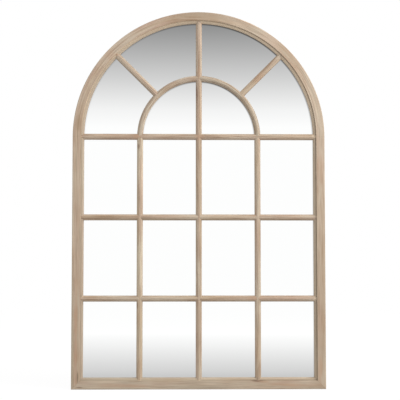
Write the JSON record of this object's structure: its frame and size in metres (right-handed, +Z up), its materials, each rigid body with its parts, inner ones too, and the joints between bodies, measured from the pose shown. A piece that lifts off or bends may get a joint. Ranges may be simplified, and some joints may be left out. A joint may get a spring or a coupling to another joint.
{
  "type": "arched window mirror",
  "caption": "Large arched wall mirror styled as a window: limed wood frame, half-round glazing bars over one mirror plate, hung from two D-rings.",
  "frame": {"origin": "midway between the pivots of the two D-rings, on the plane of the frame's back", "axes": "+Z up along the frame's longest side, +X to the right seen from the front, +Y from the mirror into the wall"},
  "size_m": [1, 0.0353, 1.495],
  "materials": {
    "frame_fir": "limed fir, washed thin, matt wax",
    "bar_fir": "limed fir, washed thin, matt wax",
    "mirror": "silvered float glass, seamed edge",
    "backing": "bare thin fibreboard",
    "beech": "bare beech",
    "points": "bright steel",
    "zinc": "zinc-plated steel"
  },
  "bodies": {
    "frame_body": {"left_stile": "frame_fir", "right_stile": "frame_fir", "bottom_rail": "frame_fir", "arch_foot_left": "frame_fir", "arch_haunch_left": "frame_fir", "arch_crown": "frame_fir", "arch_haunch_right": "frame_fir", "arch_foot_right": "frame_fir", "upper_cross_bar": "bar_fir", "middle_cross_bar": "bar_fir", "lower_cross_bar": "bar_fir", "left_upright_bar": "bar_fir", "centre_upright_bar": "bar_fir", "right_upright_bar": "bar_fir", "inner_arch_left": "bar_fir", "inner_arch_right": "bar_fir", "spoke_left": "bar_fir", "spoke_right": "bar_fir", "mirror_glass": "mirror", "backing_board": "backing", "loose_tenons": "beech", "glazing_points": "points", "corner_nails": "points", "hanger_strap_left": "zinc", "hanger_strap_right": "zinc", "hanger_screws": "zinc"},
    "left_ring": {"d_ring_left": "zinc"},
    "right_ring": {"d_ring_right": "zinc"}
  },
  "joints": [
    {"name": "left_ring_swing", "type": "hinge", "parent": "frame_body", "child": "left_ring", "pos_m": [-0.4875, 0.00265, 0], "axis": [1, 0, 0], "range_deg": [0, 180]},
    {"name": "right_ring_swing", "type": "hinge", "parent": "frame_body", "child": "right_ring", "pos_m": [0.4875, 0.00265, 0], "axis": [1, 0, 0], "range_deg": [0, 180]}
  ]
}
